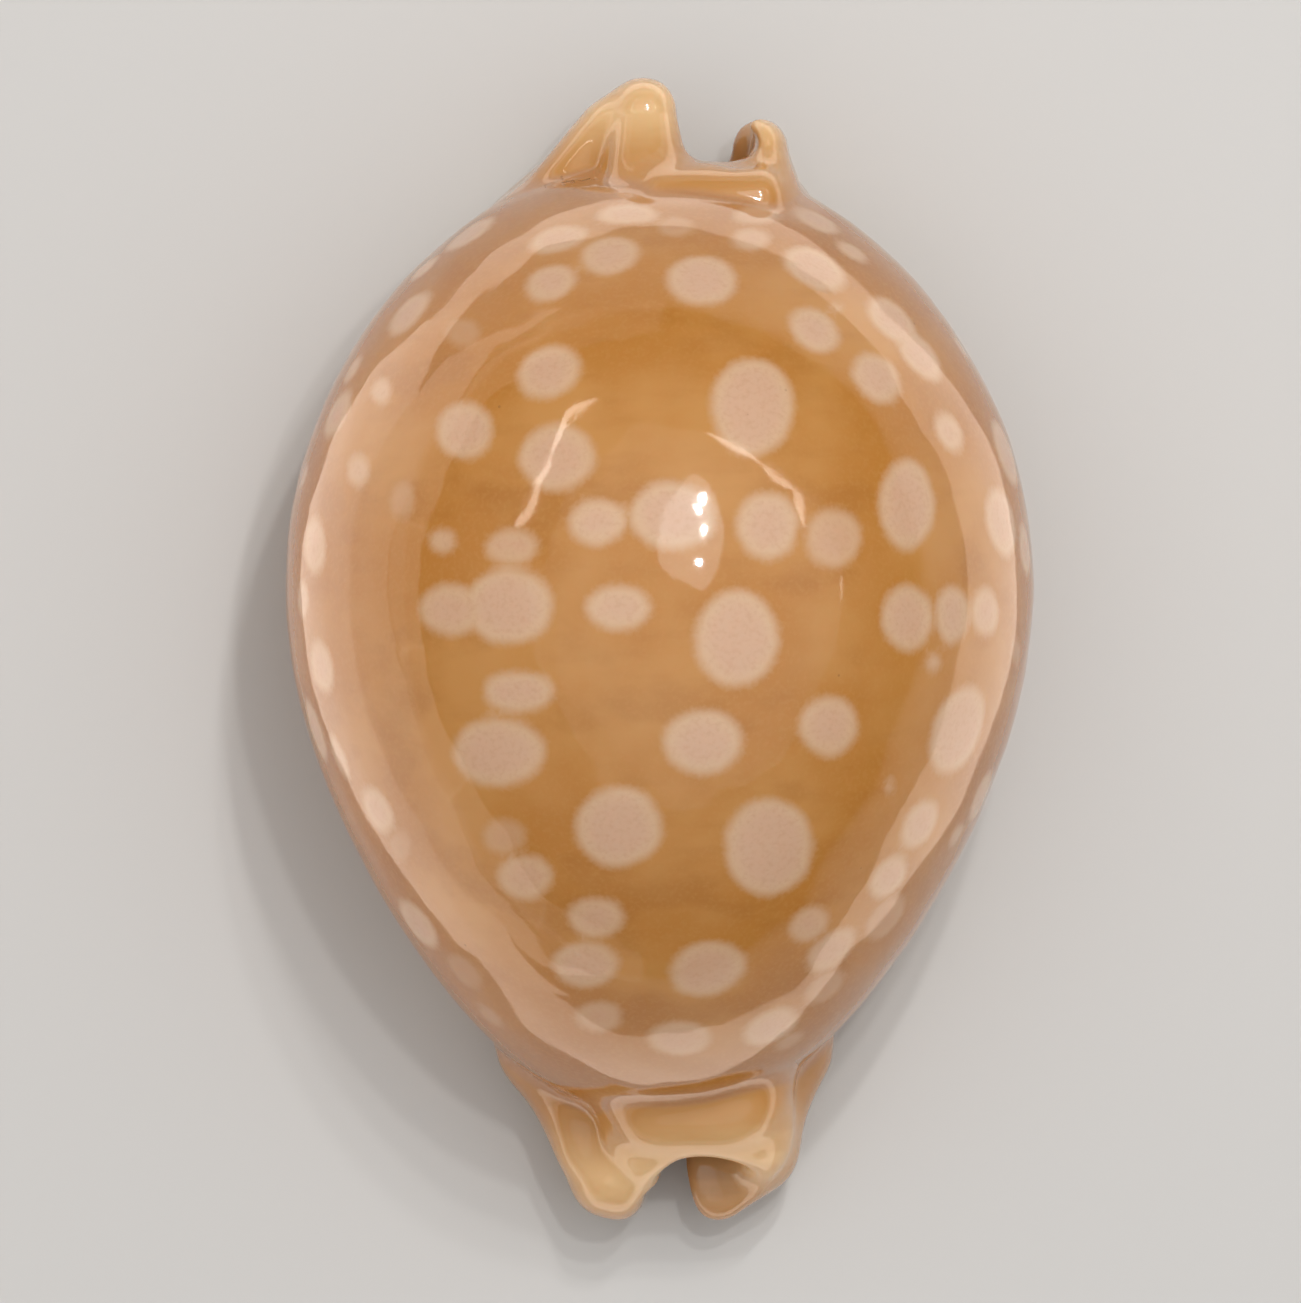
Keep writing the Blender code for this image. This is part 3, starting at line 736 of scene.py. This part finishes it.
def add(tree, kind, inputs=None, **settings):
    """Adds a node with its settings, and its inputs' values or links."""
    made = tree.nodes.new(kind)
    for name, value in settings.items():
        setattr(made, name, value)
    for name, value in (inputs or {}).items():
        if isinstance(value, bpy.types.NodeSocket):
            tree.links.new(value, made.inputs[name])
        else:
            made.inputs[name].default_value = value
    return made


def fresh_material(name):
    material = bpy.data.materials.new(name)
    material.use_nodes = True
    tree = material.node_tree
    tree.nodes.clear()
    return material, tree


def enamel_material(colours):
    """Grown aragonite enamel: glossy as glazed china, with soft-edged spots that lie under the gloss."""
    material, tree = fresh_material("Cowry enamel, glossy aragonite")
    place = add(tree, "ShaderNodeTexCoord").outputs["Object"]
    values = {}
    for name in MARKS:
        made = add(tree, "ShaderNodeAttribute", attribute_name=name, attribute_type="GEOMETRY")
        values[name] = made.outputs["Fac"]
    for name, (size, detail, finer) in PATTERNS.items():
        at = add(tree, "ShaderNodeMapping", {"Vector": place, "Scale": finer}).outputs["Vector"]
        made = add(tree, "ShaderNodeTexNoise", {"Vector": at, "Scale": 1 / (size * MM), "Detail": detail})
        values[name] = made.outputs["Fac"]
    made = add(tree, "ShaderNodeTexVoronoi", {"Vector": place, "Scale": 1 / (PRICK_SPACING * MM)})
    values["prick"] = made.outputs["Distance"]
    for name, (measured, extras, start, full, strength) in MASKS.items():
        value = values[measured]
        for pattern, weight in extras:
            inputs = {0: values[pattern], 1: weight, 2: value}
            value = add(tree, "ShaderNodeMath", inputs, operation="MULTIPLY_ADD").outputs[0]
        strength = values.get(strength, strength)
        inputs = {"Value": value, "From Min": start, "From Max": full, "To Max": strength}
        made = add(tree, "ShaderNodeMapRange", inputs, interpolation_type="SMOOTHSTEP")
        values[name] = made.outputs["Result"]
    coats = {
        # The ends start from the deeper fawn, which is painted shade along the crease
        **colours, "enamel": colours["ground"], "marking": colours["spot_rim"], "end": colours["fawn_crease_shade_and_growth"],
    }
    for coat, mask, over in COATS:
        inputs = {0: values[mask], 6: coats[coat], 7: coats[over]}
        coats[coat] = add(tree, "ShaderNodeMix", inputs, data_type="RGBA").outputs[2]
    relief = add(tree, "ShaderNodeBump", {"Height": values["ripple"], **RIPPLE})
    rough = add(tree, "ShaderNodeMapRange", {"Value": values["wear"], **GLOSS})
    inputs = {
        "Base Color": coats["enamel"],
        "Roughness": rough.outputs["Result"],
        "Normal": relief.outputs["Normal"],
        **ENAMEL,
    }
    surface = add(tree, "ShaderNodeBsdfPrincipled", inputs)
    add(tree, "ShaderNodeOutputMaterial", {"Surface": surface.outputs["BSDF"]})
    return material


def floor_material(colour):
    """Matt pale card."""
    material, tree = fresh_material("Pale card, matt")
    place = add(tree, "ShaderNodeTexCoord").outputs["Object"]
    inputs = {"Vector": place, "Scale": 1 / (CARD_TOOTH * MM), "Detail": 2.0}
    tooth = add(tree, "ShaderNodeTexNoise", inputs)
    inputs = {"Height": tooth.outputs["Fac"], "Strength": CARD_RELIEF, "Distance": CARD_TOOTH_HEIGHT * MM}
    relief = add(tree, "ShaderNodeBump", inputs)
    inputs = {"Base Color": colour, "Roughness": CARD_ROUGHNESS, "Normal": relief.outputs["Normal"]}
    surface = add(tree, "ShaderNodeBsdfPrincipled", inputs)
    add(tree, "ShaderNodeOutputMaterial", {"Surface": surface.outputs["BSDF"]})
    return material


def length_property(name, description, default_mm):
    return FloatProperty(
        name=name, description=description, default=default_mm * MM, unit="LENGTH", precision=4
    )


def colour_property(name, description, code):
    return FloatVectorProperty(
        name=name, description=description, default=linear(code)[:3], subtype="COLOR", min=0.0, max=1.0
    )


def light_property(name, description, brightness):
    return FloatProperty(name=name, description=description, default=brightness, min=0.0)


class CowryShellSettings(bpy.types.PropertyGroup):
    """Sizes of the shell."""

    wall: length_property("Wall", "Thickness of the wall under the back", 2.4)
    lip: length_property("Lip", "Height of the rolled lips above the base", 6.0)
    tooth_pitch: length_property("Tooth pitch", "Distance from one tooth to the next along the opening", 2.75)
    tooth_height: length_property("Tooth height", "How far a tooth stands out of the lip", 0.6)
    tooth_reach: length_property("Tooth reach", "How far a tooth runs out from the opening", 6.0)
    grid: length_property("Grid", "Size of the mesh's faces before the ends are refined", 0.62)
    even_rounds: IntProperty(
        name="Evening rounds", description="How often the mesh is evened out", default=3, min=0
    )


class CowryColours(bpy.types.PropertyGroup):
    """Colours of the shell."""

    ground: colour_property("Ground", "Golden brown of the back", "#B47730")
    ground_light: colour_property("Light ground", "Paler clouds in the ground", "#BE8645")
    # Also painted shade down the flanks, besides the real patches and growth lines
    ground_deep_and_flank_shade: colour_property("Deep ground", "Orange brown of the flanks and growth lines", "#9D601A")
    # Also the colour of the painted reflection along the creases
    spot: colour_property("Spot", "Pinkish cream inside the spots", "#CCA486")
    spot_rim: colour_property("Spot's rim", "Yellower cream round the rim of a spot", "#CEA986")
    spot_grain: colour_property("Spot's grain", "Fine tan grain in the spots", "#BE9370")
    fawn: colour_property("Fawn", "Horns, tips and collars", "#E0B884")
    # Painted shade along the crease, and the colour of the ends' real growth lines
    fawn_crease_shade_and_growth: colour_property("Deep fawn", "The same where they meet the back", "#BE8749")
    # Painted shade: the fawn that the ends darken to low down
    fawn_painted_low_shade: colour_property("Low fawn", "The same low down", "#AE7A49")
    base: colour_property("Base", "Cream callus of the base", "#D9BC93")
    lip: colour_property("Lip", "Lips beside the opening", "#E4D0B0")
    tooth: colour_property("Tooth", "White teeth", "#F2EADB")
    inner: colour_property("Inside", "Inside of the shell", "#C9B6A6")
    prick: colour_property("Pin prick", "Tiny dark specks", "#6E4420")


class CowryStage(bpy.types.PropertyGroup):
    """Floor, camera and lights."""

    floor_colour: colour_property("Floor", "Colour of the floor", "#CBC9C6")
    warm_colour: colour_property("Warm light", "Colour of the strips, cards and low lights", "#FFE9D7")
    floor_size: length_property("Floor size", "Side of the floor", 4000.0)
    camera_height: length_property(
        "Camera height", "From the shell's widest line up to the camera", PHOTO_DISTANCE
    )
    panel_height: length_property("Panel height", "Height of the soft panel over the floor", 750.0)
    panel_size: length_property("Panel size", "Diameter of the soft panel", 1900.0)
    panel_light: light_property("Panel light", "Brightness of the panel's middle", 0.46)
    shade_light: light_property("Shade light", "Brightness of the shade round the small lamps", 1.6)
    strip_light: light_property("Strip light", "Brightness of the narrow strips", 5.4)
    low_light: light_property("Low light", "Brightness of the low lights on the left", 0.9)
    card_light: light_property("Card light", "Brightness of the cards that lie round the shell", 1.3)
    lamp_light: light_property("Lamp light", "Brightness of each small lamp", 230.0)
    room_low: light_property("Low room", "Brightness of the room near the horizon", 0.15)
    room_high: light_property("High room", "Brightness of the room higher up", 0.42)


class COWRY_OT_shell(bpy.types.Operator):
    """Makes the shell on its CAD form and gives it its enamel"""

    bl_idname = "cowry.shell"
    bl_label = "Shell"

    def execute(self, context):
        settings = context.scene.cowry_shell
        sizes = {
            name: getattr(settings, name) / MM
            for name in ("wall", "lip", "tooth_pitch", "tooth_height", "tooth_reach")
        }
        shape = make_blank(sizes["wall"], sizes["lip"], settings.grid / MM)
        if not shape.verts:
            raise RuntimeError("The shell has no surface")
        settle(shape, sizes)
        even_out(shape, settings.even_rounds)
        settle(shape, sizes)
        for places in (on_ends, at_creases):
            refine(shape, places(points_of(shape)))
            settle(shape, sizes)
        even_out(shape, 1)
        settle(shape, sizes)
        points = points_of(shape)
        slope = slope_at(points, shell_form(*points.T, sizes), sizes)
        normals = slope / np.maximum(np.linalg.norm(slope, axis=1), TINY)[:, None]
        worked = waver(points, normals)
        for vert, point in zip(shape.verts, worked):
            vert.co = point * MM
        mesh = bpy.data.meshes.new("shell surface")
        shape.to_mesh(mesh)
        shape.free()
        mesh.shade_smooth()
        add_markings(mesh, points, sizes)
        colours = context.scene.cowry_colours
        chosen = {name: tuple(getattr(colours, name)) + (1.0,) for name in colours.__annotations__}
        mesh.materials.append(enamel_material(chosen))
        shell = bpy.data.objects.new("cowry_shell", mesh)
        context.scene.collection.objects.link(shell)
        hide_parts(NODE)
        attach(shell, BODY)
        return {"FINISHED"}


# Small lamps seen as points of light on the dome: how far across and along from overhead, in mm
LAMPS = ((137.0, 353.0), (109.0, 307.0), (126.0, 223.0), (101.0, 117.0))
LAMP_HEIGHT = 600.0
LAMP_SIZE = 26.0
# The panel is discs, one over the other, so that its light falls off towards its rim
PANEL_DISCS = ((1.0, 0.6), (0.85, 0.25), (0.7, 0.15))
PANEL_GAP = 0.01
PANEL_OFFSET = 300.0
# Narrow strips seen as streaks on the dome, from one end to the other, with their width, in mm
STRIPS = (
    ((-526.0, 1408.0, 720.0), (-672.0, 781.0, 720.0), 100.0),
    ((-672.0, 781.0, 720.0), (-742.0, 337.0, 720.0), 80.0),
    ((289.0, 894.0, 720.0), (607.0, 718.0, 720.0), 60.0),
    ((607.0, 718.0, 720.0), (837.0, 616.0, 720.0), 90.0),
    ((837.0, 616.0, 720.0), (805.0, 359.0, 720.0), 70.0),
    ((1140.0, 150.0, 720.0), (1140.0, 10.0, 720.0), 30.0),
)
# A soft shade round the small lamps
SHADE_PLACE = (120.0, 245.0, 640.0)
SHADE_SIZE = (230.0, 420.0)
# Low lights on the left, seen in the flank's gloss: compass angles, distance, width and height
LOW_LIGHT_ANGLES = (102, 127, 152, 177, 202, 227, 252)
LOW_LIGHT_DISTANCE = 500.0
LOW_LIGHT_FADE = 0.45
LOW_LIGHT_SIZE = (225.0, 90.0)
# Bright cards lying round the shell, seen as a pale band with a sharp outer edge:
# left, right, near and far edge in mm, and share of the brightness
CARDS = (
    (-84.0, -39.0, -110.0, 66.0, 1.0),
    (39.0, 92.0, -70.0, 75.0, 0.85),
    (-39.0, 39.0, -90.0, -49.0, 0.85),
    (-39.0, 39.0, 49.0, 66.0, 0.85),
    (-420.0, -84.0, -300.0, 260.0, 0.7),
)
CARD_HEIGHT = 1.0
# The room's light grows from the horizon up to here, as the height of the line of sight
ROOM_LOW, ROOM_HIGH = 0.05, 0.5
SENSOR_WIDTH = 36.0


def add_lamp(collection, name, place, size, brightness, shape="ELLIPSE", colour=(1.0, 1.0, 1.0)):
    """A lamp of this size across and along that shines straight down and looks this bright."""
    data = bpy.data.lights.new(name, "AREA")
    data.shape = shape
    data.color = colour
    data.size, data.size_y = size
    area = size[0] * size[1] * (math.pi / 4 if shape == "ELLIPSE" else 1)
    data.energy = math.pi * area * brightness
    lamp = bpy.data.objects.new(name, data)
    lamp.location = place
    lamp.visible_camera = False
    collection.objects.link(lamp)
    return lamp


class COWRY_OT_stage(bpy.types.Operator):
    """Lays the floor and sets up the lights and the camera over the shell's back"""

    bl_idname = "cowry.stage"
    bl_label = "Stage"

    def execute(self, context):
        settings = context.scene.cowry_stage
        collection = context.scene.collection
        shape = bmesh.new()
        bmesh.ops.create_grid(shape, x_segments=1, y_segments=1, size=settings.floor_size / 2)
        mesh = bpy.data.meshes.new("floor")
        shape.to_mesh(mesh)
        shape.free()
        mesh.materials.append(floor_material(tuple(settings.floor_colour) + (1.0,)))
        floor = bpy.data.objects.new("floor", mesh)
        collection.objects.link(floor)
        warm = tuple(settings.warm_colour)
        for share, strength in PANEL_DISCS:
            place = PANEL_OFFSET * MM, 0, settings.panel_height * (1 + PANEL_GAP * (1 - share))
            size = (settings.panel_size * share,) * 2
            add_lamp(collection, "soft panel", place, size, settings.panel_light * strength)
        place, size = Vector(SHADE_PLACE) * MM, [side * MM for side in SHADE_SIZE]
        add_lamp(collection, "shade", place, size, settings.shade_light)
        for across, ahead in LAMPS:
            place = Vector((across, ahead, LAMP_HEIGHT)) * MM
            lamp = add_lamp(collection, "small lamp", place, (LAMP_SIZE * MM,) * 2, settings.lamp_light)
            lamp.rotation_euler = place.to_track_quat("Z", "Y").to_euler()
        for start, end, width in STRIPS:
            start, end = Vector(start) * MM, Vector(end) * MM
            size = (end - start).length, width * MM
            lamp = add_lamp(collection, "strip", (start + end) / 2, size, settings.strip_light, colour=warm)
            lamp.rotation_euler = (0, 0, math.atan2(end.y - start.y, end.x - start.x))
        for degrees in LOW_LIGHT_ANGLES:
            turn = math.radians(degrees)
            place = Vector((math.cos(turn), math.sin(turn), 0)) * LOW_LIGHT_DISTANCE * MM
            place.z = LOW_LIGHT_SIZE[1] / 2 * MM
            brightness = settings.low_light * max(-math.cos(turn), LOW_LIGHT_FADE)
            size = [side * MM for side in LOW_LIGHT_SIZE]
            lamp = add_lamp(collection, "low light", place, size, brightness, "RECTANGLE", warm)
            lamp.rotation_euler = (math.pi / 2, 0, turn - math.pi / 2 + math.pi)
        for left, right, near, far, share in CARDS:
            place = Vector(((left + right) / 2, (near + far) / 2, CARD_HEIGHT)) * MM
            size = (right - left) * MM, (far - near) * MM
            lamp = add_lamp(collection, "card", place, size, settings.card_light * share, "RECTANGLE", warm)
            lamp.rotation_euler = (math.pi, 0, 0)
        world = bpy.data.worlds.new("room")
        world.use_nodes = True
        tree = world.node_tree
        sky = add(tree, "ShaderNodeTexCoord").outputs["Generated"]
        up = add(tree, "ShaderNodeSeparateXYZ", {"Vector": sky}).outputs["Z"]
        inputs = {
            "Value": up, "From Min": ROOM_LOW, "From Max": ROOM_HIGH,
            "To Min": settings.room_low, "To Max": settings.room_high,
        }
        rise = add(tree, "ShaderNodeMapRange", inputs)
        tree.links.new(rise.outputs["Result"], tree.nodes["Background"].inputs["Strength"])
        tree.nodes["Background"].inputs["Color"].default_value = (1.0, 1.0, 1.0, 1.0)
        context.scene.world = world
        data = bpy.data.cameras.new("camera")
        data.sensor_fit = "HORIZONTAL"
        data.sensor_width = SENSOR_WIDTH
        data.lens = data.sensor_width * settings.camera_height / (PHOTO_WIDTH / PIXELS_PER_MM * MM)
        data.clip_start = 10 * MM
        camera = bpy.data.objects.new("camera", data)
        middle = float(middle_height(0.0))
        camera.location = (
            (PHOTO_WIDTH / 2 - PHOTO_ORIGIN[0]) / PIXELS_PER_MM * MM,
            (PHOTO_ORIGIN[1] - PHOTO_HEIGHT / 2) / PIXELS_PER_MM * MM,
            middle * MM + settings.camera_height,
        )
        collection.objects.link(camera)
        context.scene.camera = camera
        context.scene.view_settings.view_transform = "Standard"
        return {"FINISHED"}


class COWRY_PT_panel(bpy.types.Panel):
    """Lists what can be made"""

    bl_label = "Cowry"
    bl_space_type = "VIEW_3D"
    bl_region_type = "UI"
    bl_category = "Cowry"

    def draw(self, context):
        for maker in MAKERS:
            self.layout.operator(maker.bl_idname)


MAKERS = (COWRY_OT_shell, COWRY_OT_stage)
SETTINGS = {
    "cowry_shell": CowryShellSettings,
    "cowry_colours": CowryColours,
    "cowry_stage": CowryStage,
}


def register():
    for part in (*SETTINGS.values(), *MAKERS, COWRY_PT_panel):
        bpy.utils.register_class(part)
    for name, group in SETTINGS.items():
        setattr(bpy.types.Scene, name, PointerProperty(type=group))


def unregister():
    for name in SETTINGS:
        delattr(bpy.types.Scene, name)
    for part in (COWRY_PT_panel, *reversed(MAKERS), *reversed(SETTINGS.values())):
        bpy.utils.unregister_class(part)


def main():
    register()
    bpy.ops.cowry.shell()
    bpy.ops.cowry.stage()
    bpy.context.view_layer.update()


if __name__ == "__main__":
    main()
